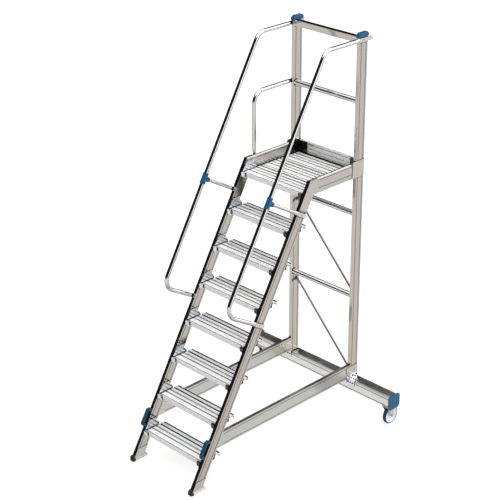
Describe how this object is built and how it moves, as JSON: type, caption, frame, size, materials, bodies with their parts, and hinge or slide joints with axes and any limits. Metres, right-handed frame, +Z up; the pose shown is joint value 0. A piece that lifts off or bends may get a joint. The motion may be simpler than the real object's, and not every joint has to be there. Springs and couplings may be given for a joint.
{
  "type": "mobile ladder stand",
  "caption": "Wheeled aluminium ladder stand with ribbed treads, a guarded platform, bent handrails, a wide rear cross-beam on castors and rubber-nosed feet.",
  "frame": {"origin": "on the floor, under the middle of the stand's overall box", "axes": "+Z up, +Y from the steps to the rear posts, +X to the right of a person who climbs"},
  "size_m": [1.396, 1.757, 2.898],
  "materials": {
    "frame_aluminium": "mill-finish extruded aluminium",
    "plank_aluminium": "bright ribbed extruded aluminium",
    "polished_bracket": "polished pressed aluminium",
    "tube_aluminium": "polished drawn aluminium tube",
    "shoe_aluminium": "satin sheet aluminium",
    "blue_plastic": "satin moulded plastic",
    "black_rubber": "matt rubber",
    "grey_sole": "ribbed light grey rubber",
    "blue_tyre": "smooth elastic tread",
    "white_rim": "satin moulded plastic",
    "zinc_steel": "bright zinc-plated steel"
  },
  "bodies": {
    "frame": {"base_angles": "zinc_steel", "base_beam_left": "frame_aluminium", "base_beam_right": "frame_aluminium", "base_bolts": "zinc_steel", "base_plate_left": "frame_aluminium", "base_plate_right": "frame_aluminium", "brace_lower": "tube_aluminium", "brace_upper": "tube_aluminium", "branch_tubes": "tube_aluminium", "castor_axles": "zinc_steel", "castor_forks": "zinc_steel", "cross_beam": "frame_aluminium", "deck_ledges": "frame_aluminium", "deck_plank_1": "plank_aluminium", "deck_plank_2": "plank_aluminium", "deck_plank_3": "plank_aluminium", "end_cap_left": "blue_plastic", "end_cap_right": "blue_plastic", "foot_noses": "black_rubber", "foot_shoes": "shoe_aluminium", "foot_soles": "grey_sole", "grip_left": "blue_plastic", "grip_right": "blue_plastic", "handrail_left": "tube_aluminium", "handrail_right": "tube_aluminium", "knee_plate_left": "frame_aluminium", "knee_plate_right": "frame_aluminium", "knee_rail": "tube_aluminium", "plate_rivets": "zinc_steel", "platform_plate_left": "frame_aluminium", "platform_plate_right": "frame_aluminium", "post_cap_left": "blue_plastic", "post_cap_right": "blue_plastic", "post_left": "frame_aluminium", "post_right": "frame_aluminium", "rail_bolts": "zinc_steel", "rail_connectors": "blue_plastic", "rung_lower": "tube_aluminium", "rung_upper": "tube_aluminium", "side_beam_left": "frame_aluminium", "side_beam_right": "frame_aluminium", "side_loop": "tube_aluminium", "stile_left": "frame_aluminium", "stile_right": "frame_aluminium", "toe_board": "frame_aluminium", "toe_brackets": "polished_bracket", "top_bar": "frame_aluminium", "tread_1": "plank_aluminium", "tread_2": "plank_aluminium", "tread_3": "plank_aluminium", "tread_4": "plank_aluminium", "tread_5": "plank_aluminium", "tread_6": "plank_aluminium", "tread_7": "plank_aluminium", "tread_brackets_left": "polished_bracket", "tread_brackets_right": "polished_bracket"},
    "wheel_left": {"rim_left": "white_rim", "tyre_left": "blue_tyre"},
    "wheel_right": {"rim_right": "white_rim", "tyre_right": "blue_tyre"}
  },
  "joints": [
    {"name": "wheel_left_spin", "type": "hinge", "parent": "frame", "child": "wheel_left", "pos_m": [-0.645, 0.8085, 0.07], "axis": [1, 0, 0], "continuous": true},
    {"name": "wheel_right_spin", "type": "hinge", "parent": "frame", "child": "wheel_right", "pos_m": [0.645, 0.8085, 0.07], "axis": [1, 0, 0], "continuous": true}
  ]
}
